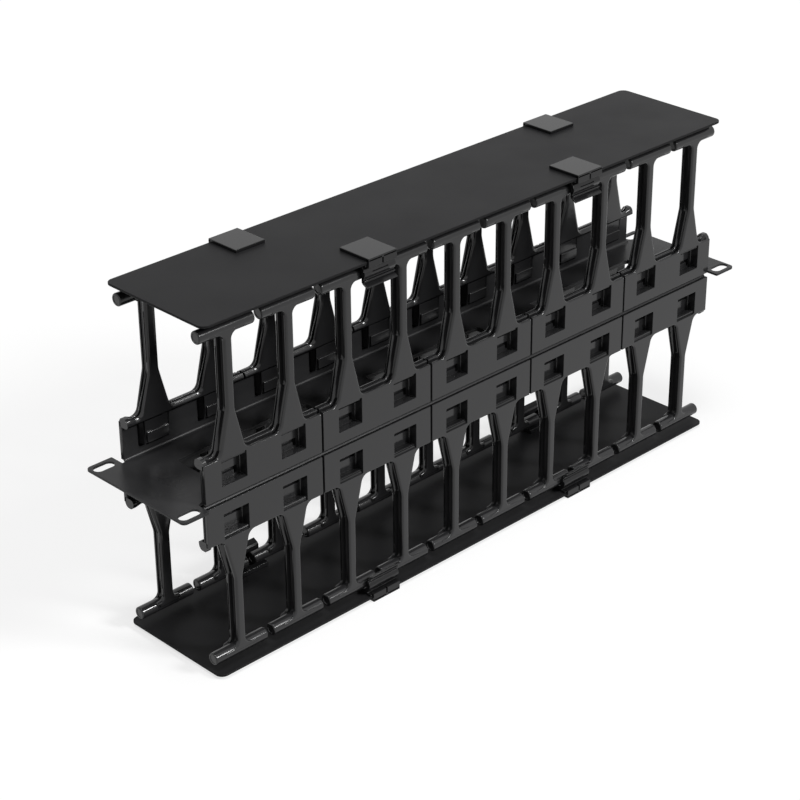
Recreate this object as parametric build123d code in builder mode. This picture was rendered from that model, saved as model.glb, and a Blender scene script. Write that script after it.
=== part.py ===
from build123d import *

import os
from math import sqrt

os.makedirs("parts", exist_ok=True)

# Horizontal cable manager, two rack units, with fingers on both sides of both ducts.
# X runs along the rack, Y from front to rear, Z up. The origin is the panel's centre.
# The object is the same above and below the panel, and in front and behind.

# Steel panel: two channels lie back to back, and the upper one carries the rack ears
sheet = 1.5
panel_length = 482.6
panel_width = 88.1
ear_corner_radius = 3.0
ear_reach = 20.7
ear_clearance = 1.9
slot_inset_x = 8.75
slot_inset_y = 5.95
slot_length = 14.0
slot_width = 6.8
flange_height = 23.0
relief = 2.0
passage_count = 3
passage_margin = 22.0
passage_bridge = 50.1
passage_width = 29.0

# Moulded finger modules, two fingers each, five in a row
fingers_per_module = 2
modules_per_row = 5
module_gap = 0.8
face_inset = 6.05
wall = 2.0
foot_clearance = 0.1
valley_height = 27.5
valley_chamfer = 3.75

# Finger: a front rib, a waist and a rear ridge, wide at the root and slim above the kink
finger_depth = 8.5
ridge_depth = 3.7
kink_height = 54.0
front_stem = 5.8
front_root = 19.3
waist_inset = 0.8
waist_depth = 5.0
ridge_stem = 7.2
ridge_root = 24.8

# Bar across the finger's tip, which holds the cables in
bar_radius = 4.0
bar_sides = 10
bar_gap = 4.8
bar_height = 102.9
flare_radius = 6.0

# Shelf along the module's top edge, over the flange
hook_depth = 8.5
hook_clearance = 0.2

# Plug box below each finger, open in front
pocket_width = 18.4
pocket_low = 8.8
pocket_high = 25.3
pocket_depth = 6.0
box_wall = 1.3
notch_clearance = 0.4

# Sheet covers
cover_inset = 1.0
cover_overhang = 4.4
cover_radius = 5.0
cover_rise = 9.1
cover_sheet = 1.5

# Cover clips, which grip the bars and let the cover swing on either side
clip_width = 24.5
pad_width = 22.0
pad_length = 23.1
pad_thickness = 2.0
clip_clearance = 0.4
clip_wall = 1.8
clip_edge = 1.2
clip_edge_drop = 7.5
clip_plate_inset = 4.5
lip_fall = 4.4
lip_flare = 2.0
lip_thickness = 1.6
front_clip_pitches = 2
rear_clip_pitches = 3

# Derived places
row_length = panel_length - 2 * ear_reach
ear_length = ear_reach - ear_clearance
module_pitch = (row_length + module_gap) / modules_per_row
module_length = module_pitch - module_gap
finger_pitch = module_pitch / fingers_per_module
bar_length = finger_pitch - bar_gap
slot_spacing_x = panel_length - 2 * slot_inset_x
slot_spacing_y = panel_width - 2 * slot_inset_y
passage_length = (row_length - 2 * passage_margin - (passage_count - 1) * passage_bridge) / passage_count
passage_pitch = passage_length + passage_bridge
face_offset = panel_width / 2 - face_inset
wall_inner = face_offset - wall
channel_width = 2 * wall_inner
module_foot = sheet + foot_clearance
finger_rear = face_offset - finger_depth
bar_offset = face_offset - bar_radius
hook_foot = flange_height + hook_clearance
flare_height = bar_height - bar_radius / 2
cover_length = row_length - 2 * cover_inset
cover_width = 2 * (face_offset + cover_overhang)
cover_height = bar_height + cover_rise
box_width = pocket_width + 2 * box_wall
box_low = pocket_low - box_wall
box_high = pocket_high + box_wall
box_rear = face_offset - pocket_depth - box_wall
notch_width = box_width + 2 * notch_clearance
notch_low = box_low - notch_clearance


# Root and stem of one finger as seen from the front, half an outline mirrored
def finger_outline(stem, root, low, high, flare=0.0):
    slope = (root - stem) / 2 / (kink_height - valley_height)
    foot = root / 2 + slope * (valley_height - low)
    side = stem / 2
    neck = high - flare
    with BuildSketch() as outline:
        with BuildLine():
            if flare:
                step = flare * (1 - sqrt(0.5))
                Polyline(
                    (0, low), (foot, low), (side, kink_height), (side, neck),
                    (side + step, high - step), (side + flare, high), (0, high),
                )
            else:
                Polyline((0, low), (foot, low), (side, kink_height), (side, high), (0, high))
            mirror(about=Plane.YZ)
        make_face()
    return outline.sketch


# One channel with its web above z = 0 and its flanges up
with BuildPart() as channel:
    with BuildSketch(Plane.YZ.offset(-row_length / 2)):
        with Locations((0, flange_height / 2)):
            Rectangle(channel_width, flange_height)
        with Locations((0, sheet + flange_height / 2)):
            Rectangle(channel_width - 2 * sheet, flange_height, mode=Mode.SUBTRACT)
    extrude(amount=row_length)
    # Open notches in the flanges for the plug boxes
    with BuildSketch(Plane.XZ):
        with Locations((0, flange_height)):
            with GridLocations(finger_pitch, 1, fingers_per_module * modules_per_row, 1):
                Rectangle(notch_width, 2 * (flange_height - notch_low))
    extrude(amount=panel_width, both=True, mode=Mode.SUBTRACT)
    # Cable passages through the web
    with BuildSketch():
        with GridLocations(passage_pitch, 1, passage_count, 1):
            Rectangle(passage_length, passage_width)
    extrude(amount=sheet, mode=Mode.SUBTRACT)

with BuildPart() as upper_channel:
    add(channel.part)
    with BuildSketch():
        with GridLocations(panel_length - ear_length, 1, 2, 1):
            RectangleRounded(ear_length, panel_width, ear_corner_radius)
        with GridLocations(row_length + ear_length, 1, 2, 1):
            Rectangle(ear_length, channel_width - 2 * relief)
        with GridLocations(slot_spacing_x, slot_spacing_y, 2, 2):
            SlotOverall(slot_length, slot_width, mode=Mode.SUBTRACT)
    extrude(amount=sheet)
upper_channel.part.label = "upper_channel"
export_step(upper_channel.part, "parts/upper_channel.step")

with BuildPart() as lower_channel:
    add(channel.part, rotation=(180, 0, 0))
lower_channel.part.label = "lower_channel"
export_step(lower_channel.part, "parts/lower_channel.step")

# The moulding, drawn where it stands in the middle of the upper front row
front_rib = finger_outline(front_stem, front_root, valley_height, flare_height, flare_radius)
waist = finger_outline(front_stem - 2 * waist_inset, front_root - 2 * waist_inset, hook_foot, bar_height)
rear_ridge = finger_outline(ridge_stem, ridge_root, hook_foot, bar_height)

with BuildPart() as finger_module:
    # Wall and front ribs in one plate
    with BuildSketch(Plane.XZ.offset(wall_inner)):
        with Locations((0, (module_foot + valley_height) / 2)):
            Rectangle(module_length, valley_height - module_foot)
        with GridLocations(finger_pitch, 1, fingers_per_module, 1):
            add(front_rib)
        valley = vertices().group_by(Axis.Y)[1]
        chamfer(valley.sort_by(Axis.X)[1:-1], valley_chamfer)
    extrude(amount=wall)
    # Waist behind the front rib
    with BuildSketch(Plane.XZ.offset(wall_inner)):
        with GridLocations(finger_pitch, 1, fingers_per_module, 1):
            add(waist)
    extrude(amount=-waist_depth)
    # Rear ridge
    with BuildSketch(Plane.XZ.offset(finger_rear)):
        with GridLocations(finger_pitch, 1, fingers_per_module, 1):
            add(rear_ridge)
    extrude(amount=ridge_depth)
    # Shelf along the top edge, over the flange
    with BuildSketch(Plane.XZ.offset(wall_inner)):
        with Locations((0, (hook_foot + valley_height) / 2)):
            Rectangle(module_length, valley_height - hook_foot)
    extrude(amount=hook_depth - wall, dir=(0, 1, 0))
    # Bars
    for side in (-1, 1):
        with BuildSketch(Plane.YZ.offset(side * finger_pitch / 2 - bar_length / 2)):
            with Locations((-bar_offset, bar_height)):
                RegularPolygon(bar_radius, bar_sides, major_radius=False, rotation=180 / bar_sides)
        extrude(amount=bar_length)
    # Plug boxes through the flange, then their pockets
    with BuildSketch(Plane.XZ.offset(wall_inner)):
        with Locations((0, (box_low + box_high) / 2)):
            with GridLocations(finger_pitch, 1, fingers_per_module, 1):
                Rectangle(box_width, box_high - box_low)
    extrude(amount=box_rear - wall_inner)
    with BuildSketch(Plane.XZ.offset(face_offset)):
        with Locations((0, (pocket_low + pocket_high) / 2)):
            with GridLocations(finger_pitch, 1, fingers_per_module, 1):
                Rectangle(pocket_width, pocket_high - pocket_low)
    extrude(amount=-pocket_depth, mode=Mode.SUBTRACT)


# One moulding serves all four rows, turned half round for the rear and for the underside
row_turns = {
    "upper_front": (0, 0, 0),
    "upper_rear": (0, 0, 180),
    "lower_front": (0, 180, 0),
    "lower_rear": (180, 0, 0),
}
for row, turn in row_turns.items():
    for number in range(1, modules_per_row + 1):
        name = f"{row}_module_{number}"
        centre = (number - (modules_per_row + 1) / 2) * module_pitch
        with BuildPart() as placed_module:
            with Locations((centre, 0, 0)):
                add(finger_module.part, rotation=turn)
        placed_module.part.label = name
        export_step(placed_module.part, f"parts/{name}.step")

# Sheet covers over the open sides of the ducts
with BuildPart() as upper_cover:
    with BuildSketch(Plane.XY.offset(cover_height - cover_sheet)):
        RectangleRounded(cover_length, cover_width, cover_radius)
    extrude(amount=cover_sheet)
upper_cover.part.label = "upper_cover"
export_step(upper_cover.part, "parts/upper_cover.step")

with BuildPart() as lower_cover:
    add(upper_cover.part, rotation=(180, 0, 0))
lower_cover.part.label = "lower_cover"
export_step(lower_cover.part, "parts/lower_cover.step")

# Clip round the cover's edge: pad above, plate below, and a shell round the bar with an open lower mouth
shell_inner = bar_radius + clip_clearance
shell_outer = shell_inner + clip_wall
edge_low = cover_height + pad_thickness - clip_edge_drop
edge_out = cover_width / 2 + clip_edge
edge_round = pad_thickness / 2
pad_top = cover_height + pad_thickness
shell_meets_edge = bar_offset + sqrt(shell_outer**2 - (edge_low - bar_height) ** 2)
lip_start = bar_height - lip_fall
lip_end = lip_start - lip_flare
pad_reach = cover_width / 2 - pad_length
clip_plate_reach = bar_offset - clip_plate_inset

with BuildPart() as cover_clip:
    with BuildSketch(Plane.YZ.offset(-clip_width / 2)):
        with BuildLine():
            Polyline(
                (-pad_reach, cover_height),
                (-pad_reach, pad_top),
                (-edge_out + edge_round, pad_top),
                (-edge_out, pad_top - edge_round),
                (-edge_out, edge_low),
                (-shell_meets_edge, edge_low),
            )
            RadiusArc((-shell_meets_edge, edge_low), (-bar_offset - shell_outer, bar_height), -shell_outer)
            Polyline(
                (-bar_offset - shell_outer, bar_height),
                (-bar_offset - shell_outer, lip_start),
                (-bar_offset - shell_outer - lip_flare, lip_end),
                (-bar_offset - shell_outer - lip_flare + lip_thickness, lip_end - lip_thickness / 2),
                (-bar_offset - shell_inner, lip_start),
                (-bar_offset - shell_inner, bar_height),
            )
            RadiusArc((-bar_offset - shell_inner, bar_height), (-bar_offset, bar_height + shell_inner), shell_inner)
            Polyline(
                (-bar_offset, bar_height + shell_inner),
                (-clip_plate_reach, bar_height + shell_inner),
                (-clip_plate_reach, cover_height - cover_sheet),
                (-cover_width / 2, cover_height - cover_sheet),
                (-cover_width / 2, cover_height),
                (-pad_reach, cover_height),
            )
        make_face()
    extrude(amount=clip_width)
    # The pad is narrower than the shell
    with BuildSketch(Plane.XY.offset(cover_height)):
        with Locations((0, -edge_out)):
            Rectangle(2 * clip_width, 2 * edge_out)
            Rectangle(pad_width, 2 * edge_out, mode=Mode.SUBTRACT)
    extrude(amount=pad_thickness, mode=Mode.SUBTRACT)

clip_pitches = {"front": front_clip_pitches, "rear": rear_clip_pitches}
for row, turn in row_turns.items():
    level, face = row.split("_")
    for side, sign in {"left": -1, "right": 1}.items():
        name = f"{row}_{side}_clip"
        with BuildPart() as placed_clip:
            with Locations((sign * clip_pitches[face] * finger_pitch, 0, 0)):
                add(cover_clip.part, rotation=turn)
        placed_clip.part.label = name
        export_step(placed_clip.part, f"parts/{name}.step")
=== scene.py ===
from math import cos, radians, sin

import bmesh
import bpy
import numpy as np
from mathutils import Matrix, Vector
from mathutils.geometry import tessellate_polygon


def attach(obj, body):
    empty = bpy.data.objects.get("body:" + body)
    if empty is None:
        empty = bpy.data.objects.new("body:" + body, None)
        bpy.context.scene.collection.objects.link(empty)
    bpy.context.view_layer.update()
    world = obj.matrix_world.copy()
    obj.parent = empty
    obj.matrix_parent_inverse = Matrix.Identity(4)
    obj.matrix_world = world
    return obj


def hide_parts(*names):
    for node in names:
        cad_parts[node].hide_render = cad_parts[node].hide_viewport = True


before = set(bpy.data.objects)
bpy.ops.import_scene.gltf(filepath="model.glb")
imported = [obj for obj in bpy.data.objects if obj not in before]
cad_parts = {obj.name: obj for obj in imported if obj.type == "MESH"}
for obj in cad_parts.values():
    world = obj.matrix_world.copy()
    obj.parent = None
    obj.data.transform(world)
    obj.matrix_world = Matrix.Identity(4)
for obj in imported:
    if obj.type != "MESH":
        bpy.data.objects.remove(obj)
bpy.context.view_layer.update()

# Two-sided horizontal cable manager: a steel panel between two rows of moulded fingers on
# each side, closed by sheet covers on clips. X runs along the rack, Y from front to rear, Z up.
# Lengths are in millimetres, and a mesh takes them in metres.
MM = 0.001
BEND_STEPS = 7
ROUNDING_STEPS = 5
TOUCHING = 1e-4
CREASE_DEGREES = 40

# Moulded finger module of the upper front row: heights are above the seam between the channels,
# and FACE, the backs and the floor are depths in front of the object's middle plane
PITCH = 44.2
MODULE_PITCH = 2 * PITCH
MODULE_HALF = 43.45
FACE = 38.0
WALL_BACK = 36.0
FOOT = 1.6
VALLEY = 26.6
KINK = 54.0
STEM_HALF = 2.9
STEM_TOP = 100.1
ARM_HALF = 12.4
ARM_LOW = 100.9
ARM_TOP = 102.4
ROOT_HALF = 9.65
BEAD_FOOT = 23.2
BAR_Y = 34.0
BAR_Z = 102.9
BAR_RADIUS = 4.0
BAR_LENGTH = 39.4
POCKET_HALF = 9.2
POCKET_LOW = 8.8
POCKET_HIGH = 25.3
POCKET_FLOOR = 32.0
BOX_HALF = 10.5
BOX_LOW = 7.5
BOX_HIGH = 26.5
BOX_BACK = 30.7
LATCH_BACK = 29.6
# A plug box narrows from the wall to its back in these rings
BOX_OFFSETS = [0, -1.3, -1.5, -2.1]
BOX_DEPTHS = [-WALL_BACK, -31.9, -31.1, -BOX_BACK]
# Slot round two sides of a latch, from the middle of its box
LATCH_SLOT = np.array([
    (6.4, 10.0), (4.3, 10.0), (4.3, 12.7), (-7.8, 12.7), (-7.8, 14.9), (6.4, 14.9),
])
BOSS_ASIDE = -0.4
BOSS_MIDDLE = 13.2
BOSS_SIZE = (7.9, 3.4)

# Bead behind the ribs, ring by ring from the wall to its inner edge: depth and offset on a stem,
# at the row's end and in a valley, whether the stem's slot sinks the ring, and the foot's offset
BEAD = np.array([
    (-37.4, -0.9, -37.4, -0.8, -36.9, -1.2, 0, -0.6),
    (-36.4, -0.9, -37.1, 0.3, -36.4, -2.2, 0, 0.0),
    (-35.9, -1.3, -36.7, 1.2, -35.9, -2.6, 0, 0.0),
    (-35.3, -1.7, -36.1, 2.0, -34.9, -2.6, 0, 0.0),
    (-34.4, -1.9, -35.5, 2.5, -34.5, -2.0, 0, 0.0),
    (-33.2, -1.9, -35.0, 2.8, -34.5, -0.6, 0, 0.0),
    (-32.4, -1.7, -34.8, 2.85, -34.8, 0.8, 0, 0.0),
    (-32.15, -1.2, -34.6, 2.9, -34.65, 1.3, 0, 0.0),
    (-32.05, 0.2, -34.4, 2.9, -34.2, 1.6, 0, 0.0),
    (-31.9, 0.65, -34.2, 2.9, -33.6, 1.6, 0, 0.0),
    (-31.6, 0.75, -34.05, 2.9, -33.25, 1.3, 0, 0.0),
    (-31.5, 0.75, -33.8, 2.9, -33.15, 0.8, 0, 0.0),
    (-31.4, 0.75, -33.4, 2.9, -33.1, -1.2, 1, 0.0),
    (-30.8, 0.75, -32.9, 2.88, -31.95, -1.2, 1, 0.0),
    (-30.7, 0.75, -32.4, 2.85, -31.85, 0.7, 0, 0.0),
    (-30.5, 0.75, -32.1, 2.8, -31.7, 1.15, 0, 0.0),
    (-30.1, 0.6, -31.6, 2.7, -31.3, 1.3, 0, -0.1),
    (-29.75, 0.3, -30.7, 2.1, -30.6, 1.15, 0, -0.4),
    (-29.6, 0.0, -30.0, 1.2, -30.1, 0.4, 0, -0.9),
    (-29.5, -0.5, -29.65, 0.0, -29.7, -0.4, 0, -1.5),
    (-29.5, -1.2, -29.5, -1.2, -29.5, -1.2, 0, -2.0),
])
# Depth of the stem's slot and the heights that it runs between
SLOT_ON_STEM = 0.7
STEM_SLOT = (60.0, 91.0)
BEAD_ROOT_HALF = 14.4
BEAD_STEM_TOP = 99.2
BEAD_ARM_HALF = 8.0
BEAD_ARM_LOW = 100.2
# The closed arch comes in from 5 to 3 mm before a row's end, and the sweep runs 6 mm past it
ARCH_FROM = MODULE_HALF - 5
ARCH_BLEND = 2
SWEEP_HALF = MODULE_HALF + 6
BEAD_END = 8.2

# Steel panel and its channels
SHEET = 1.5
ROW_HALF = 220.6
CHANNEL_HALF = 36.0
FLANGE = 23.0
PANEL_HALF = 241.3
PANEL_WIDTH_HALF = 44.05
EAR_FROM = 222.5
NECK_HALF = 34.0
SLOT_X = 232.55
SLOT_Y = 38.1
SLOT_LENGTH = 14.0
SLOT_WIDTH = 6.8
NOTCH_HALF = 10.9
NOTCH_LOW = 7.1
NOTCHES = 10
# Past this the sheet is an ear, which stays flat
EAR_STARTS = ROW_HALF + 0.7
# Folds: outer radius, then the radius and length of the sheet's middle layer. A height z on a
# flange lies z + FLAT_GAIN from the middle line of the flat blank
BEND_OUTER = 4.0
BEND_MIDDLE = BEND_OUTER - SHEET / 2
BEND_LENGTH = BEND_MIDDLE * np.pi / 2
FOLD_LINES = 8
WEB_HALF = CHANNEL_HALF - BEND_OUTER
FLAT_GAIN = WEB_HALF + BEND_LENGTH - BEND_OUTER
FLANGE_EDGE = FLANGE + FLAT_GAIN
NOTCH_EDGE = NOTCH_LOW + FLAT_GAIN
PASSAGE_PITCH = 149.1
PASSAGE_HALF = 49.5
PASSAGE_WIDTH_HALF = 14.5

# Covers and their clips
COVER_HALF = 219.6
COVER_WIDTH_HALF = 42.4
COVER_TOP = 112.0
COVER_SHEET = 1.5
COVER_CORNER = 5.0
PAD_TOP = 114.0
CLIP_HALF = 12.25
PAD_HALF = 11.0
PAD_REACH = 19.3
EDGE_OUT = 43.6
CLIP_SLOT_DEPTH = 0.9
CLIP_SLOT_HALF = 6.2
CLIP_SLOT_FLOOR_HALF = 6.0
# Pitches from the middle to a clip on each face
CLIP_PITCHES = {"front": 2, "rear": 3}

# The photograph's camera: angles in degrees, place and depth in metres, lens in millimetres
CAMERA_TURN = -44.123
CAMERA_TILT = 27.663
CAMERA_ROLL = -0.474
CAMERA_PLACE = (-0.8680, -0.8602, 0.6127)
LENS = 98.33
SENSOR = 36
VIEW_DEPTH = 50

# Wide white floor, in metres, just under the lower clips' pads
FLOOR_REACH = 12.0
FLOOR_LEVEL = -(PAD_TOP + 0.05) * MM

# Light that falls from the world, and the floor's shade and glow, which together look white
WORLD_LIGHT = 0.12
FLOOR_SHADE = "a0a0a0"
FLOOR_GLOW = 0.71

# Soft lamps: the direction that each shines from, its width in degrees and its strength
LAMPS = {
    "overhead_softbox": ((-1.2, -1.0, 7.0), 24, 1.42),
    "right_front_softbox": ((2.6, -4.6, 3.2), 13, 1.85),
}

# Every row is the upper front row turned half round, so two of its three signs change
ROW_TURNS = {
    "upper_front": (1, 1, 1),
    "upper_rear": (-1, -1, 1),
    "lower_front": (-1, 1, -1),
    "lower_rear": (1, -1, -1),
}


def bend(corners, radii, steps=BEND_STEPS):
    """Closed loop through the corners, each one rounded by its radius.

    A corner that turns by the angle a starts its arc r tan(a / 2) before the corner, and a point
    of the arc lies at the arc's centre plus r times the outward normal, which turns evenly by a.
    Where a corner doesn't turn, its points are spread over a length of r. Gives points, normals.
    """
    corner = np.asarray(corners, float)
    radius = np.broadcast_to(np.asarray(radii, float), len(corner))[:, None]
    leaving = np.roll(corner, -1, 0) - corner
    leaving /= np.linalg.norm(leaving, axis=1, keepdims=True)
    coming = np.roll(leaving, 1, 0)
    turn = np.arctan2(
        coming[:, 0] * leaving[:, 1] - coming[:, 1] * leaving[:, 0], (coming * leaving).sum(1)
    )[:, None]
    share = np.linspace(0, 1, steps)
    heading = np.arctan2(coming[:, 1], coming[:, 0])[:, None] + turn * share
    normal = np.stack([np.sin(heading), -np.cos(heading)], 2)
    start = corner - coming * radius * np.tan(abs(turn) / 2)
    side = np.sign(np.where(abs(turn) < 1e-6, 0, turn)) * radius
    centre = start - side * normal[:, 0]
    point = centre[:, None] + side[:, None] * normal
    straight = (side == 0)[:, None] * radius[:, None] * (share[:, None] - 0.5)
    point = point + straight * coming[:, None]
    return point.reshape(-1, 2), normal.reshape(-1, 2)


def along(values, steps=BEND_STEPS):
    """One value for each point of a bent loop, from one value or a (first, last) pair per corner."""
    pairs = np.array([v if isinstance(v, tuple) else (v, v) for v in values], float)
    share = np.linspace(0, 1, steps)
    return (pairs[:, :1] + (pairs[:, 1:] - pairs[:, :1]) * share).ravel()


def rim(loop, offsets, depths):
    """Grid of rings (u, v, depth): ring j is the loop moved out by offset j along its normals."""
    point, normal = loop
    offset = np.array([np.broadcast_to(o, len(point)) for o in offsets], float)[..., None]
    depth = np.array([np.broadcast_to(d, len(point)) for d in depths], float)[..., None]
    return np.concatenate([point + offset * normal, depth], 2)


def quarter(radius, steps=ROUNDING_STEPS):
    """Edge rounding as a quarter circle: offsets -r (1 - sin a) and depths r (1 - cos a)."""
    turn = np.linspace(0, np.pi / 2, steps)[:, None]
    return -radius * (1 - np.sin(turn)), radius * (1 - np.cos(turn))


def band(rings):
    """Four-sided faces between neighbouring rings of a grid, each ring closed on itself."""
    count, size = rings.shape[:2]
    corner = np.arange(count * size).reshape(count, size)
    after = np.roll(corner, -1, 1)
    faces = np.stack([corner[:-1], after[:-1], after[1:], corner[1:]], 2)
    return rings.reshape(-1, 3), faces.reshape(-1, 4).tolist()


def lid(*rings):
    """Flat fill inside the first ring and outside the others, which are its holes."""
    flat = [[Vector(p) for p in ring.tolist()] for ring in rings]
    return np.concatenate(rings), [list(t) for t in tessellate_polygon(flat)]


def turned(profile, across, steps=40):
    """Round bar along the first axis: the point at angle a lies at r cos a, r sin a off the axis."""
    place, radius = np.asarray(profile, float).T
    angle = np.linspace(0, 2 * np.pi, steps, endpoint=False)
    u = across[0] + place[:, None] + 0 * angle
    v = across[1] + radius[:, None] * np.sin(angle)
    depth = across[2] + radius[:, None] * np.cos(angle)
    return np.stack([u, v, depth], 2)


def plate(loop, holes, top, bottom, rounding):
    """Flat plate with rounded edges: rim round the loop and each hole, lids above and below."""
    sense = 1 if top > bottom else -1
    inset, fall = quarter(rounding)
    offsets = np.concatenate([inset, inset[::-1]])
    depths = np.concatenate([top - sense * fall, bottom + sense * fall[::-1]])
    rims = [rim(path, offsets, depths) for path in (loop, *holes)]
    return [band(r) for r in rims] + [lid(*[r[0] for r in rims]), lid(*[r[-1] for r in rims])]


def joined(parts):
    """All parts' points in one array, and their faces counted on from the points before."""
    points, faces, count = [], [], 0
    for place, made in parts:
        points.append(place)
        faces += [[i + count for i in face] for face in made]
        count += len(place)
    return np.concatenate(points), faces


def draft(points, faces):
    """A bmesh of the points and faces."""
    mesh = bpy.data.meshes.new("draft")
    mesh.from_pydata(points.tolist(), [], faces)
    work = bmesh.new()
    work.from_mesh(mesh)
    bpy.data.meshes.remove(mesh)
    return work


def taken(work):
    """Points and faces of a bmesh, which is freed."""
    points = np.array([v.co[:] for v in work.verts])
    faces = [[v.index for v in f.verts] for f in work.faces]
    work.free()
    return points, faces


def cut(work, place, normal, **settings):
    """Cuts the whole bmesh along the plane through place with that normal."""
    everything = work.verts[:] + work.edges[:] + work.faces[:]
    bmesh.ops.bisect_plane(work, geom=everything, plane_co=place, plane_no=normal, dist=TOUCHING,
                           **settings)


def turn_out(work):
    """Turns round each closed shell that is inside out.

    A shell's volume is the sum of a . (b x c) / 6 over the triangles that fan out from each
    face's first corner, and it is below 0 where the faces point inwards.
    """
    for face in work.faces:
        face.tag = False
    for seed in work.faces:
        if seed.tag:
            continue
        seed.tag = True
        shell, volume = [seed], 0.0
        for face in shell:
            near = [other for edge in face.edges for other in edge.link_faces if not other.tag]
            for other in dict.fromkeys(near):
                other.tag = True
                shell.append(other)
            first, *rest = [v.co for v in face.verts]
            volume += sum(first.dot(b.cross(c)) for b, c in zip(rest, rest[1:])) / 6
        if volume < 0:
            bmesh.ops.reverse_faces(work, faces=shell)


def sound(points, faces, order=(0, 1, 2)):
    """Points and faces of the closed shells with doubles merged and every face turned outwards."""
    work = draft(points[:, order], faces)
    bmesh.ops.remove_doubles(work, verts=work.verts, dist=TOUCHING)
    bmesh.ops.recalc_face_normals(work, faces=work.faces)
    turn_out(work)
    return taken(work)


def piece(name, points, faces, finish, body, node):
    """Smooth-shaded object of the points and faces, riding on a body in place of a node."""
    mesh = bpy.data.meshes.new(name)
    mesh.from_pydata((points * MM).tolist(), [], faces)
    mesh.shade_smooth()
    mesh.set_sharp_from_angle(angle=radians(CREASE_DEGREES))
    mesh.materials.append(finish)
    shown = bpy.data.objects.new(name, mesh)
    bpy.context.scene.collection.objects.link(shown)
    weights = shown.modifiers.new("flat faces stay flat", "WEIGHTED_NORMAL")
    weights.keep_sharp = True
    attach(shown, body)
    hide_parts(node)
    return shown


# Finishes

# Periods of the slow changes of gloss and of the dust under the paint, and depths of the reliefs
MELT_DRIFT_MM = 18
PAINT_DRIFT_MM = 40
DUST_MM = 0.4
GRAIN_DEPTH_MM = 0.05
PEEL_DEPTH_MM = 0.06
PLASTIC_IOR = 1.5


def linear(shade):
    """sRGB hex to linear colour: s / 12.92 below 0.04045, and ((s + 0.055) / 1.055) ** 2.4 above."""
    s = np.array([int(shade[i : i + 2], 16) for i in (0, 2, 4)]) / 255
    return (*np.where(s <= 0.04045, s / 12.92, ((s + 0.055) / 1.055) ** 2.4), 1.0)


def add(tree, kind, settings=None, **inputs):
    """Adds a node, sets its own settings, and sets or links each input by name (_ for a space)."""
    node = tree.nodes.new(kind)
    for key, value in (settings or {}).items():
        setattr(node, key, value)
    for key, value in inputs.items():
        socket = node.inputs[int(key[1:])] if key[0] == "i" and key[1:].isdigit() else None
        socket = socket or node.inputs[key.replace("_", " ")]
        if isinstance(value, bpy.types.NodeSocket):
            tree.links.new(value, socket)
        else:
            socket.default_value = value
    return node


def blank(name):
    """A new material with only its output node."""
    finish = bpy.data.materials.new(name)
    finish.use_nodes = True
    finish.node_tree.nodes.clear()
    return finish, finish.node_tree


def satin_moulding(name, shade, rough_low, rough_high, grain_mm, relief, shine):
    """Injection-moulded plastic: a fine even grain in relief, and slow changes of gloss.

    The grain's noise has its period at grain_mm, and the gloss drifts over MELT_DRIFT_MM, as the
    melt did when it filled the mould.
    """
    finish, tree = blank(name)
    place = add(tree, "ShaderNodeTexCoord").outputs["Object"]
    grain = add(tree, "ShaderNodeTexNoise", Vector=place, Scale=1 / (grain_mm * MM), Detail=2.0,
                Roughness=0.5)
    drift = add(tree, "ShaderNodeTexNoise", Vector=place, Scale=1 / (MELT_DRIFT_MM * MM),
                Detail=3.0, Roughness=0.6)
    gloss = add(tree, "ShaderNodeMapRange", Value=drift.outputs["Fac"], i1=0.3, i2=0.7,
                i3=rough_low, i4=rough_high)
    bump = add(tree, "ShaderNodeBump", Height=grain.outputs["Fac"], Strength=relief,
               Distance=GRAIN_DEPTH_MM * MM)
    skin = add(tree, "ShaderNodeBsdfPrincipled", Base_Color=linear(shade),
               Roughness=gloss.outputs["Result"], Normal=bump.outputs["Normal"],
               IOR=PLASTIC_IOR, Specular_IOR_Level=shine)
    add(tree, "ShaderNodeOutputMaterial", Surface=skin.outputs["BSDF"])
    return finish


def powder_coat(name, shade, rough_low, rough_high, orange_peel_mm, relief, shine):
    """Baked powder paint on steel: shallow orange-peel cells and a dull even sheen.

    The cells are smooth Voronoi bumps of orange_peel_mm with a finer noise over them, and the
    paint's gloss drifts over PAINT_DRIFT_MM.
    """
    finish, tree = blank(name)
    place = add(tree, "ShaderNodeTexCoord").outputs["Object"]
    cells = add(tree, "ShaderNodeTexVoronoi", {"feature": "SMOOTH_F1"}, Vector=place,
                Scale=1 / (orange_peel_mm * MM), Smoothness=0.8)
    dust = add(tree, "ShaderNodeTexNoise", Vector=place, Scale=1 / (DUST_MM * MM), Detail=2.0)
    height = add(tree, "ShaderNodeMix", {"data_type": "FLOAT"}, i0=0.35,
                 i2=cells.outputs["Distance"], i3=dust.outputs["Fac"])
    drift = add(tree, "ShaderNodeTexNoise", Vector=place, Scale=1 / (PAINT_DRIFT_MM * MM),
                Detail=4.0)
    gloss = add(tree, "ShaderNodeMapRange", Value=drift.outputs["Fac"], i1=0.3, i2=0.7,
                i3=rough_low, i4=rough_high)
    bump = add(tree, "ShaderNodeBump", Height=height.outputs["Result"], Strength=relief,
               Distance=PEEL_DEPTH_MM * MM)
    skin = add(tree, "ShaderNodeBsdfPrincipled", Base_Color=linear(shade),
               Roughness=gloss.outputs["Result"], Normal=bump.outputs["Normal"],
               IOR=PLASTIC_IOR, Specular_IOR_Level=shine)
    add(tree, "ShaderNodeOutputMaterial", Surface=skin.outputs["BSDF"])
    return finish


# Black moulded nylon of the fingers: smooth and satin, so rounded edges draw thin bright lines.
# Its grain is finer than 0.1 mm and is drawn at 0.5 mm, the finest that shows from here
finger_nylon = satin_moulding("black_moulded_nylon_satin", shade="2a2a2b", rough_low=0.11,
                              rough_high=0.16, grain_mm=0.5, relief=0.12, shine=0.38)
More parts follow.
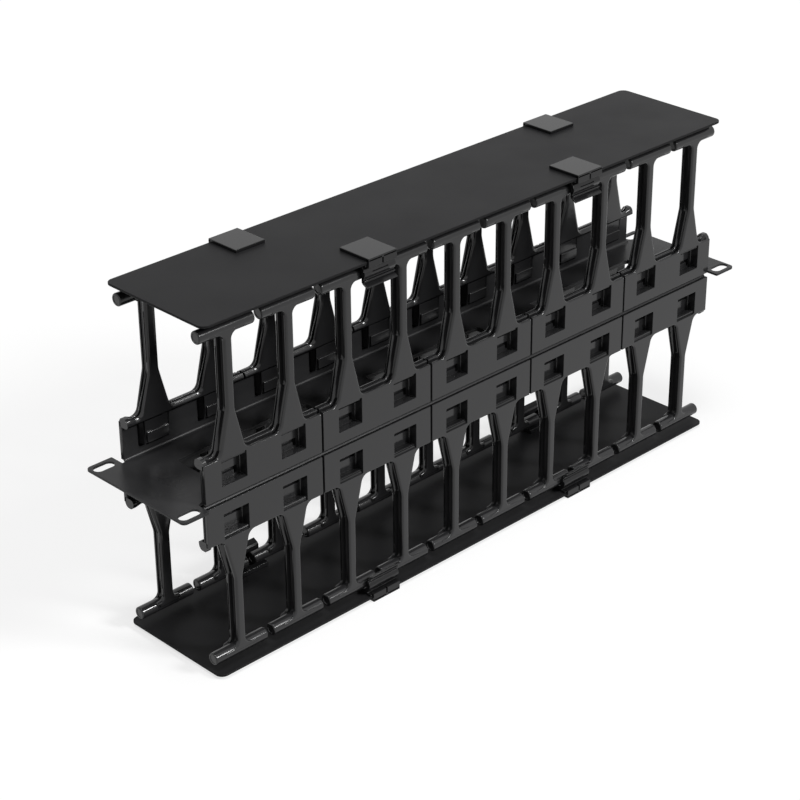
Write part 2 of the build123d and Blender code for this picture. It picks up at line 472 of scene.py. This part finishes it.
# The clips' nylon is darker, and their pads mirror the white round them more than the covers do
clip_nylon = satin_moulding("black_moulded_nylon_smooth", shade="1e1e1f", rough_low=0.13,
                            rough_high=0.19, grain_mm=0.6, relief=0.10, shine=0.28)
# Cover paint: flat black powder coat on steel, grey in the light, with hardly any shine.
# Its orange peel has a millimetre's period, as the real coat has
cover_paint = powder_coat("black_powder_coat_matte", shade="232324", rough_low=0.36,
                          rough_high=0.44, orange_peel_mm=1.0, relief=0.20, shine=0.05)
# Panel paint: the same coat, a little glossier, so that it mirrors the white round it softly
panel_paint = powder_coat("black_powder_coat_satin", shade="303031", rough_low=0.26,
                          rough_high=0.34, orange_peel_mm=1.0, relief=0.20, shine=0.15)


# Moulded finger module, in the middle of the upper front row

def finger_row(edge, end, finger, end_reach):
    """Corners of a module in (x, z): its foot, its ends, and two fingers drawn right to left.

    A corner is (place, radius, *values). The fingers' corners are those of a finger's right half.
    """
    corners = [((-end_reach, edge), *end[0]), ((end_reach, edge), *end[0])]
    corners += [((end_reach - inward, VALLEY), *rest) for inward, *rest in end[1:]]
    for centre in (PITCH / 2, -PITCH / 2):
        corners += [((centre + x, z), *rest) for (x, z), *rest in finger]
        corners += [((centre - x, z), radius, *[v[::-1] for v in values])
                    for (x, z), radius, *values in finger[::-1]]
    corners += [((inward - end_reach, VALLEY), radius, *[v[::-1] for v in values])
                for inward, radius, *values in end[:0:-1]]
    loop = bend([c[0] for c in corners], [c[1] for c in corners])
    return loop, *[along(value) for value in list(zip(*corners))[2:]]


def rounded_box(centre, half, radius, clockwise=False):
    """Loop of a rectangle with rounded corners, clockwise where it is a hole."""
    (u, v), (a, b) = centre, half
    corners = [(u - a, v - b), (u + a, v - b), (u + a, v + b), (u - a, v + b)]
    return bend(corners[::-1] if clockwise else corners, radius)


def front_wall():
    """Wall and front ribs in one skin, with two plug boxes whose latches are cut free.

    The outline's edge is a quarter circle of 1.5 mm on the fingers, 0.9 mm in the valleys and
    0.2 mm at the ends. Each pocket goes back to its floor with a small fillet, each box goes back
    from the wall with a draft, and a deep slot round two sides of each latch runs into the
    boss behind it.
    """
    full, soft, crisp = (1.5, 1.5), (0.9, 0.9), (0.2, 0.2)
    finger = [
        ((ROOT_HALF, VALLEY), 5.0, (0.9, 1.5)),
        ((STEM_HALF, KINK), 14.0, full),
        ((STEM_HALF, STEM_TOP), 4.4, (1.5, 0.9)),
        ((ARM_HALF, ARM_LOW), 0.45, (0.4, 0.4)),
        ((ARM_HALF, ARM_TOP), 0.6, (0.4, 0.4)),
    ]
    loop, edge = finger_row(FOOT, [(0.3, crisp), (0.0, 0.5, (0.2, 0.9)), (1.5, 0.5, soft)], finger,
                            MODULE_HALF)
    inset, fall = quarter(edge, 6)
    offsets = [*inset, 0 * edge, 0 * edge - 0.25]
    depths = [*(fall - FACE), 0 * edge - WALL_BACK - 0.25, 0 * edge - WALL_BACK]
    outer = rim(loop, offsets, depths)
    parts = [band(outer)]
    pockets, boxes = [], []
    for centre in (-PITCH / 2, PITCH / 2):
        middle = ((POCKET_LOW + POCKET_HIGH) / 2, (POCKET_HIGH - POCKET_LOW) / 2)
        mouth = rounded_box((centre, middle[0]), (POCKET_HALF, middle[1]), 0.35, clockwise=True)
        turn = np.linspace(0, np.pi / 2, ROUNDING_STEPS)[:, None]
        fillet = along([0.5, 0.5, (0.5, 0.1), (0.1, 0.5)])
        lip_in, lip_fall = quarter(0.2, 4)
        pocket = rim(
            mouth,
            [*lip_in[:, 0], *(0.05 + fillet * (1 - np.cos(turn)))],
            [*(lip_fall[:, 0] - FACE), *(fillet * (np.sin(turn) - 1) - POCKET_FLOOR)],
        )
        middle = ((BOX_LOW + BOX_HIGH) / 2, (BOX_HIGH - BOX_LOW) / 2)
        shell = rounded_box((centre, middle[0]), (BOX_HALF, middle[1]), 1.2)
        box = rim(shell, BOX_OFFSETS, BOX_DEPTHS)
        slot = bend(LATCH_SLOT + (centre, 0), 0.3)
        slot = rim(slot, [0, 0], [-POCKET_FLOOR, -LATCH_BACK - 0.3])
        boss = rounded_box((centre + BOSS_ASIDE, BOSS_MIDDLE), BOSS_SIZE, 0.6)
        boss = rim(boss, [0, 0, -0.3], [-BOX_BACK, -LATCH_BACK - 0.2, -LATCH_BACK])
        parts += [band(pocket), band(box), band(slot), band(boss), lid(slot[-1]), lid(boss[-1])]
        parts += [lid(pocket[-1], slot[0]), lid(box[-1], boss[0])]
        pockets.append(pocket[0])
        boxes.append(box[0])
    return parts + [lid(outer[0], *pockets), lid(outer[-1], *boxes)]


def finger_bead(row_end):
    """Waist and rear bead in one sweep behind the ribs, along the stems and the valleys.

    The offset of ring j at a point is (1 - w) stem_j + w valley_j, less the slot's depth where a
    slot runs, with w going from 0 on a stem to 1 in a valley; its depth is blended by w too. So a
    waist with a narrow ridge on the stems becomes a trench and two rims over the valleys, and at
    the row's end, by a second weight, one closed arch 2.9 mm high. The sweep runs past the
    module's ends and is cut off there.
    """
    on, off, up, down = (1, 1), (0, 0), (0, 1), (1, 0)
    finger = [
        ((BEAD_ROOT_HALF, VALLEY), 1.2, on, down, on),
        ((ROOT_HALF, VALLEY), 5.0, (1, 0.85), off, on),
        ((STEM_HALF, KINK), 14.0, (0.12, 0), off, on),
        ((STEM_HALF, STEM_SLOT[0]), 2.0, off, up, on),
        ((STEM_HALF, STEM_SLOT[1]), 2.0, off, down, on),
        ((STEM_HALF, BEAD_STEM_TOP), 3.4, off, off, on),
        ((BEAD_ARM_HALF, BEAD_ARM_LOW), 0.4, off, off, on),
        ((BEAD_ARM_HALF, ARM_TOP), 0.5, off, off, on),
    ]
    end = [(0.0, off, off, off), (0.0, 0.5, on, off, on), (BEAD_END, 1.2, on, up, on)]
    loop, valley, slot, top = finger_row(BEAD_FOOT, end, finger, SWEEP_HALF)
    arch = np.clip((row_end * loop[0][:, 0] - ARCH_FROM) / ARCH_BLEND, 0, 1)
    (stem_depth, stem_out, arch_depth, arch_out, open_depth, open_out, sinks,
     foot_out) = BEAD.T[:, :, None]
    valley_depth = (1 - arch) * open_depth + arch * arch_depth
    valley_out = (1 - arch) * open_out + arch * arch_out
    stem_out = stem_out - sinks * slot * SLOT_ON_STEM
    out = (1 - valley) * stem_out + valley * valley_out
    out = top * out + (1 - top) * foot_out
    weight = np.where(top > 0, valley, 1)
    depth = (1 - weight) * stem_depth + weight * valley_depth
    rings = rim(loop, out, depth)
    work = draft(*joined([band(rings), lid(rings[0]), lid(rings[-1])]))
    bmesh.ops.remove_doubles(work, verts=work.verts, dist=TOUCHING)
    for side in (-1, 1):
        cut(work, (side * MODULE_HALF, 0, 0), (side, 0, 0), clear_outer=True)
        bmesh.ops.holes_fill(work, edges=[e for e in work.edges if e.is_boundary])
    bmesh.ops.triangulate(work, faces=[f for f in work.faces if len(f.verts) > 4])
    return [taken(work)]


def tip_bars():
    """The two bars across the finger tips, turned from a profile with a ringed end."""
    half = BAR_LENGTH / 2
    end = [(half - 0.9, BAR_RADIUS), (half - 0.4, 3.8), (half - 0.1, 3.4), (half, 3.0),
           (half - 0.05, 2.6), (half - 0.4, 2.4), (half - 0.4, 0.0)]
    right = np.array([(0.0, BAR_RADIUS)] + end)
    profile = np.concatenate([right[:0:-1] * (-1, 1), right])
    return [band(turned(profile, (x, BAR_Z, -BAR_Y))) for x in (-PITCH / 2, PITCH / 2)]


# One module for each place in a row: at its left end, in its middle and at its right end
modules = {end: sound(*joined(front_wall() + finger_bead(end) + tip_bars()), (0, 2, 1))
           for end in (-1, 0, 1)}
for row, turn in ROW_TURNS.items():
    for number in range(1, 6):
        points, faces = modules[turn[0] * {1: -1, 5: 1}.get(number, 0)]
        points = points * turn + ((number - 3) * MODULE_PITCH, 0, 0)
        piece(f"{row}_moulding_{number}", points, faces, finger_nylon, "panel_and_fingers",
              f"{row}_module_{number}")


# Sheet covers

def cover():
    """Rounded sheet with slightly broken edges."""
    loop = bend(
        [(-COVER_HALF, -COVER_WIDTH_HALF), (COVER_HALF, -COVER_WIDTH_HALF),
         (COVER_HALF, COVER_WIDTH_HALF), (-COVER_HALF, COVER_WIDTH_HALF)], COVER_CORNER)
    return plate(loop, [], COVER_TOP, COVER_TOP - COVER_SHEET, 0.3)


cover_sheet = sound(*joined(cover()))
for level, turn in {"upper": (1, 1, 1), "lower": (1, -1, -1)}.items():
    piece(f"{level}_cover_sheet", cover_sheet[0] * turn, cover_sheet[1], cover_paint,
          f"{level}_lid", f"{level}_cover")


# Clips

def clip():
    """Clip in (y, z), carried along x: pad, two edge blocks, and a shell round the bar.

    The shell bulges out over the bar and ends in a ridge and a flared lip. Its bulge has a
    shallow slot across the middle: there the points of the bulge's upper corner sink.
    """
    reach = (EDGE_OUT - PAD_REACH) / 2
    thick = (PAD_TOP - COVER_TOP) / 2
    pad = rounded_box((-PAD_REACH - reach, COVER_TOP + thick), (reach, thick), 0.35)
    parts = plate(pad, [], -PAD_HALF, PAD_HALF, 0.35)
    shell = [
        ((-42.0, 109.0), 0.2), ((-38.7, 108.7), 0.25), ((-40.2, 106.8), 1.2),
        ((-41.4, 104.6), 1.6), ((-41.4, 103.2), 1.0), ((-40.6, 101.2), 1.2),
        ((-39.7, 100.6), 0.2), ((-39.9, 100.2), 0.15), ((-41.0, 99.9), 0.3),
        ((-41.0, 99.2), 0.3), ((-39.6, 98.5), 0.3), ((-43.2, 96.4), 0.35),
        ((-42.7, 95.7), 0.3), ((-39.4, 97.4), 1.0), ((-38.4, 98.6), 0.6),
        ((-38.4, 107.3), 4.0), ((-29.5, 107.3), 0.4), ((-29.5, 110.5), 0.4),
        ((-42.0, 110.5), 0.3),
    ]
    loop = bend([place for place, radius in shell], [radius for place, radius in shell])
    slot = np.zeros(len(loop[0]))
    slot[3 * BEND_STEPS + 1 : 4 * BEND_STEPS - 1] = -CLIP_SLOT_DEPTH
    inset, fall = quarter(0.3)
    slot_right = [CLIP_SLOT_FLOOR_HALF, CLIP_SLOT_HALF]
    slot_left = [-CLIP_SLOT_HALF, -CLIP_SLOT_FLOOR_HALF]
    across = [*(fall[:, 0] - CLIP_HALF), *slot_left, *slot_right, *(CLIP_HALF - fall[::-1, 0])]
    sinks = [*inset[:, 0], 0, slot, slot, 0, *inset[::-1, 0]]
    rings = rim(loop, sinks, across)
    parts += [band(rings), lid(rings[0]), lid(rings[-1])]
    edge = rounded_box((-42.5, 110.9), (1.1, 2.5), 0.3)
    for low, high in ((-PAD_HALF, -0.55), (0.55, PAD_HALF)):
        parts += plate(edge, [], low, high, 0.2)
    return parts


clip_shell = sound(*joined(clip()), (2, 0, 1))
for row, turn in ROW_TURNS.items():
    level, face = row.split("_")
    for side, sign in {"left": -1, "right": 1}.items():
        place = clip_shell[0] * turn + (sign * CLIP_PITCHES[face] * PITCH, 0, 0)
        piece(f"{row}_{side}_clip_shell", place, clip_shell[1], clip_nylon, f"{level}_lid",
              f"{row}_{side}_clip")


# Steel panel: two channels folded from flat blanks

def blank_outline(ears):
    """Flat blank in (x, s), s across the folds: two notched flanges, and ears on the upper one."""
    radii = {"end": 0.8, "notch": 1.0, "ear": 3.0, "relief": 0.4}
    edge = [((-ROW_HALF, -FLANGE_EDGE), "end")]
    for k in range(NOTCHES):
        x = (k - (NOTCHES - 1) / 2) * PITCH
        left, right = x - NOTCH_HALF, x + NOTCH_HALF
        edge += [((left, -FLANGE_EDGE), "notch"), ((left, -NOTCH_EDGE), "notch"),
                 ((right, -NOTCH_EDGE), "notch"), ((right, -FLANGE_EDGE), "notch")]
    edge.append(((ROW_HALF, -FLANGE_EDGE), "end"))
    if ears:
        edge += [((ROW_HALF, -NECK_HALF), "relief"), ((EAR_FROM, -NECK_HALF), "relief"),
                 ((EAR_FROM, -PANEL_WIDTH_HALF), "end"), ((PANEL_HALF, -PANEL_WIDTH_HALF), "ear"),
                 ((PANEL_HALF, PANEL_WIDTH_HALF), "ear"), ((EAR_FROM, PANEL_WIDTH_HALF), "end"),
                 ((EAR_FROM, NECK_HALF), "relief"), ((ROW_HALF, NECK_HALF), "relief")]
    corners = np.array([place for place, kind in edge])
    sizes = [radii[kind] for place, kind in edge]
    return bend(np.concatenate([corners, -corners]), sizes + sizes, 5)


def folded(ears):
    """Channel with its web down: the blank, cut along the bend lines and then folded.

    Past the web's half width w, a point at thickness t turns round the bend's centre by
    a = (|s| - w) / r, so y = w + (R - t) sin a and z = R - (R - t) cos a, and past a right
    angle it goes straight up. The ears stay flat.
    """
    outline = blank_outline(ears)
    holes = [rounded_box((x, 0), (PASSAGE_HALF, PASSAGE_WIDTH_HALF), 1.5, clockwise=True)
             for x in (-PASSAGE_PITCH, 0, PASSAGE_PITCH)]
    if ears:
        holes += [rounded_box((x, y), (SLOT_LENGTH / 2, SLOT_WIDTH / 2), SLOT_WIDTH / 2 - 0.01,
                              clockwise=True) for x in (-SLOT_X, SLOT_X) for y in (-SLOT_Y, SLOT_Y)]
    work = draft(*sound(*joined(plate(outline, holes, SHEET, 0.0, 0.2))))
    for line in WEB_HALF + np.linspace(0, BEND_LENGTH, FOLD_LINES):
        for side in (-1, 1):
            cut(work, (0, side * line, 0), (0, 1, 0))
    flat, faces = taken(work)
    x, s, t = flat.T
    across = abs(s)
    angle = np.clip((across - WEB_HALF) / BEND_MIDDLE, 0, np.pi / 2)
    past = np.clip(across - WEB_HALF - BEND_LENGTH, 0, None)
    y = np.sign(s) * (np.minimum(across, WEB_HALF) + (BEND_OUTER - t) * np.sin(angle))
    z = BEND_OUTER - (BEND_OUTER - t) * np.cos(angle) + past
    ear = abs(x) > EAR_STARTS
    return np.stack([x, np.where(ear, s, y), np.where(ear, t, z)], 1), faces


for level, sign in {"upper": 1, "lower": -1}.items():
    points, faces = folded(level == "upper")
    piece(f"{level}_folded_channel", points * (1, sign, sign), faces, panel_paint,
          "panel_and_fingers", f"{level}_channel")


# Camera, floor and light

def camera():
    """The photograph's view: it looks along d, with r to the right and u up, and a slight roll."""
    turn, tilt, roll = radians(CAMERA_TURN), radians(CAMERA_TILT), radians(CAMERA_ROLL)
    d = Vector((-sin(turn) * cos(tilt), cos(turn) * cos(tilt), -sin(tilt)))
    r = Vector((cos(turn), sin(turn), 0))
    u = r.cross(d)
    right, up = cos(roll) * r + sin(roll) * u, cos(roll) * u - sin(roll) * r
    lens = bpy.data.cameras.new("camera")
    lens.lens = LENS
    lens.sensor_width = SENSOR
    lens.clip_end = VIEW_DEPTH
    shown = bpy.data.objects.new("camera", lens)
    facing = Matrix((right, up, -d)).transposed().to_4x4()
    shown.matrix_world = Matrix.Translation(Vector(CAMERA_PLACE)) @ facing
    bpy.context.scene.collection.objects.link(shown)
    bpy.context.scene.camera = shown


def lamp(name, place, width, strength):
    """Soft light from far off in the direction of place, width degrees wide, the same everywhere."""
    light = bpy.data.lights.new(name, "SUN")
    light.angle = radians(width)
    light.energy = strength
    shown = bpy.data.objects.new(name, light)
    facing = (-Vector(place)).to_track_quat("-Z", "Y")
    shown.matrix_world = Matrix.Translation(Vector(place)) @ facing.to_matrix().to_4x4()
    bpy.context.scene.collection.objects.link(shown)


def seen_rays(tree):
    """1 for rays from the camera, a glossy surface or a clear one, and 0 for the light that falls."""
    rays = add(tree, "ShaderNodeLightPath").outputs
    first = add(tree, "ShaderNodeMath", {"operation": "MAXIMUM"}, i0=rays["Is Camera Ray"],
                i1=rays["Is Glossy Ray"]).outputs[0]
    return add(tree, "ShaderNodeMath", {"operation": "MAXIMUM"}, i0=first,
               i1=rays["Is Transmission Ray"]).outputs[0]


def studio():
    """White surroundings, a pale floor that keeps the shadow, and two soft lamps."""
    world = bpy.data.worlds.new("studio")
    bpy.context.scene.world = world
    world.use_nodes = True
    tree = world.node_tree
    tree.nodes.clear()
    soft = add(tree, "ShaderNodeBackground", Color=linear("ffffff"), Strength=WORLD_LIGHT)
    white = add(tree, "ShaderNodeBackground", Color=linear("ffffff"), Strength=1.0)
    both = add(tree, "ShaderNodeMixShader", i0=seen_rays(tree), i1=soft.outputs[0],
               i2=white.outputs[0])
    add(tree, "ShaderNodeOutputWorld", Surface=both.outputs[0])

    finish, tree = blank("floor_white")
    card = add(tree, "ShaderNodeBsdfDiffuse", Color=linear(FLOOR_SHADE))
    glow = add(tree, "ShaderNodeEmission", Color=linear("ffffff"), Strength=FLOOR_GLOW)
    none = add(tree, "ShaderNodeEmission", Color=linear("000000"), Strength=0.0)
    lift = add(tree, "ShaderNodeMixShader", i0=seen_rays(tree), i1=none.outputs[0],
               i2=glow.outputs[0])
    both = add(tree, "ShaderNodeAddShader", i0=card.outputs[0], i1=lift.outputs[0])
    add(tree, "ShaderNodeOutputMaterial", Surface=both.outputs[0])
    mesh = bpy.data.meshes.new("floor")
    corners = [(-1, -1), (1, -1), (1, 1), (-1, 1)]
    mesh.from_pydata([(FLOOR_REACH * x, FLOOR_REACH * y, FLOOR_LEVEL) for x, y in corners], [],
                     [(0, 1, 2, 3)])
    mesh.materials.append(finish)
    floor = bpy.data.objects.new("floor", mesh)
    bpy.context.scene.collection.objects.link(floor)

    for name, (place, width, strength) in LAMPS.items():
        lamp(name, place, width, strength)


camera()
studio()
bpy.context.scene.view_settings.view_transform = "Standard"
